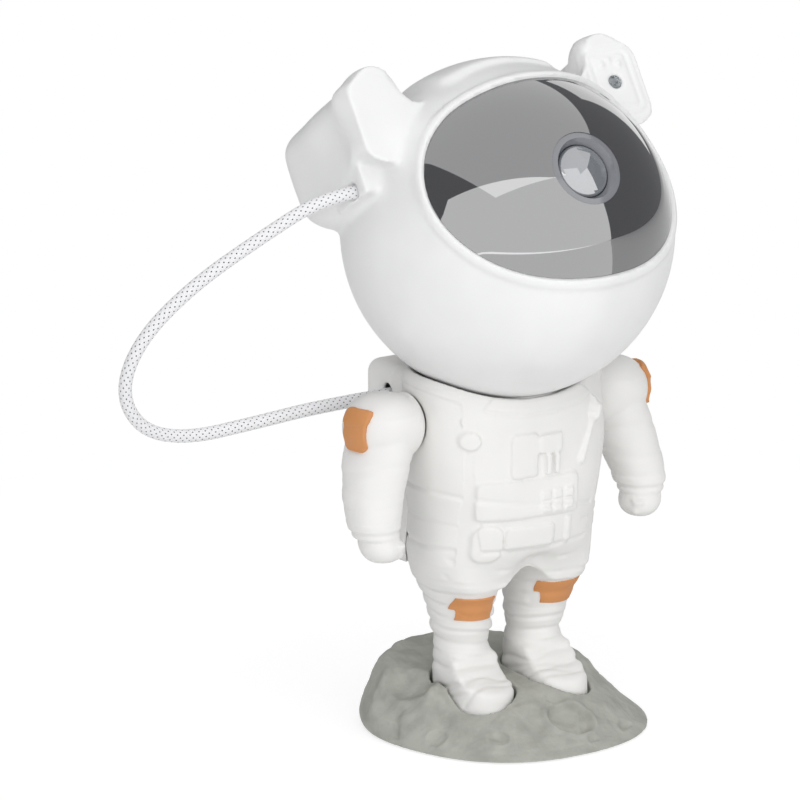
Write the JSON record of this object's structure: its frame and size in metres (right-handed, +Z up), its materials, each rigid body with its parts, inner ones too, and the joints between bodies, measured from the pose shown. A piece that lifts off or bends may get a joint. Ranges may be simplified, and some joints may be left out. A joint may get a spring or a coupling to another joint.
{
  "type": "planetarium projector",
  "caption": "Star and nebula projector in the form of a standing astronaut on a moon-rock base, with a swivelling ball head and a looped cord from ear pod to backpack.",
  "frame": {"origin": "centre of the underside, on the surface that the projector stands on, below the centre of the ball head", "axes": "+Z up, the astronaut faces -Y, its left hand is on +X"},
  "size_m": [0.1971, 0.1107, 0.2272],
  "materials": {
    "suit_white": "fine matte moulded ABS",
    "helmet_white": "satin-gloss moulded ABS",
    "patch_orange": "matte paint",
    "moon_grey": "matte, finely pitted",
    "floor_grey": "matte",
    "pad_rubber": "matte",
    "screw_steel": "zinc plated",
    "visor_smoke": "polished smoked acrylic",
    "black_plastic": "matte",
    "clear_lens": "clear, polished",
    "gear_nylon": "natural nylon",
    "pin_nylon": "natural nylon",
    "steel_plate": "nickel plated",
    "aluminium": "satin",
    "board_green": "solder mask",
    "switch_metal": "plated",
    "button_white": "satin",
    "cord_white": "braided sleeve over a black cable"
  },
  "bodies": {
    "stand": {"moon_base": "moon_grey", "base_floor": "floor_grey", "base_pad": "pad_rubber", "base_screws": "screw_steel", "boot_screws": "screw_steel", "torso_front": "suit_white", "torso_rear": "suit_white", "knee_patch_left": "patch_orange", "knee_patch_right": "patch_orange", "backpack": "suit_white", "backpack_cover": "suit_white", "backpack_screws": "screw_steel", "control_board": "board_green", "key_switches": "switch_metal", "power_socket": "switch_metal", "backpack_cord_clamp": "black_plastic", "power_cord": "cord_white"},
    "neck": {"seat_ring": "suit_white", "neck_magnet": "steel_plate"},
    "helmet": {"helmet_front": "helmet_white", "helmet_rear": "helmet_white", "helmet_plate": "steel_plate", "visor": "visor_smoke", "lens_bezel": "black_plastic", "projection_lens": "clear_lens", "lens_barrel": "black_plastic", "projector_cover": "black_plastic", "disc_axle": "screw_steel", "hanger_screws": "screw_steel", "disc_motor": "steel_plate", "led_collimator": "black_plastic", "led_board": "board_green", "light_posts": "black_plastic", "heat_sink": "aluminium", "pod_left": "helmet_white", "pod_right": "helmet_white", "laser_module": "aluminium", "laser_window": "clear_lens", "helmet_cord_clamp": "black_plastic"},
    "disc": {"disc_gear": "gear_nylon", "nebula_disc": "clear_lens"},
    "pinion": {"motor_pinion": "gear_nylon"},
    "arm_left": {"arm_left": "suit_white", "arm_patch_left": "patch_orange", "shoulder_pin_left": "pin_nylon"},
    "arm_right": {"arm_right": "suit_white", "arm_patch_right": "patch_orange", "shoulder_pin_right": "pin_nylon"},
    "button_nebula": {"button_nebula": "button_white"},
    "button_star": {"button_star": "button_white"}
  },
  "joints": [
    {"name": "head_turn", "type": "hinge", "parent": "stand", "child": "neck", "pos_m": [0, 0, 0.169], "axis": [0, 0, 1], "range_deg": [-60, 60], "deforming": ["power_cord"]},
    {"name": "head_tilt", "type": "hinge", "parent": "neck", "child": "helmet", "pos_m": [0, 0, 0.169], "axis": [1, 0, 0], "range_deg": [-20, 40], "deforming": ["power_cord"]},
    {"name": "disc_spin", "type": "hinge", "parent": "helmet", "child": "disc", "pos_m": [0, -0.03923, 0.18289], "axis": [0, -0.8348, 0.5505], "continuous": true},
    {"name": "pinion_spin", "type": "hinge", "parent": "helmet", "child": "pinion", "pos_m": [0.01663, -0.03395, 0.19091], "axis": [0, -0.8348, 0.5505], "continuous": true},
    {"name": "arm_left_swing", "type": "hinge", "parent": "stand", "child": "arm_left", "pos_m": [0.045, 0.006, 0.108], "axis": [1, 0, 0], "range_deg": [-90, 30]},
    {"name": "arm_right_swing", "type": "hinge", "parent": "stand", "child": "arm_right", "pos_m": [-0.045, 0.006, 0.108], "axis": [1, 0, 0], "range_deg": [-90, 30]},
    {"name": "button_nebula_press", "type": "slide", "parent": "stand", "child": "button_nebula", "axis": [0, -1, 0], "range_m": [0, 0.0008], "stiffness_N_per_m": 700, "springref_m": -0.0008},
    {"name": "button_star_press", "type": "slide", "parent": "stand", "child": "button_star", "axis": [0, -1, 0], "range_m": [0, 0.0008], "stiffness_N_per_m": 700, "springref_m": -0.0008}
  ],
  "couplings": [
    {"joint": "pinion_spin", "follows": "disc_spin", "ratio": -3}
  ]
}
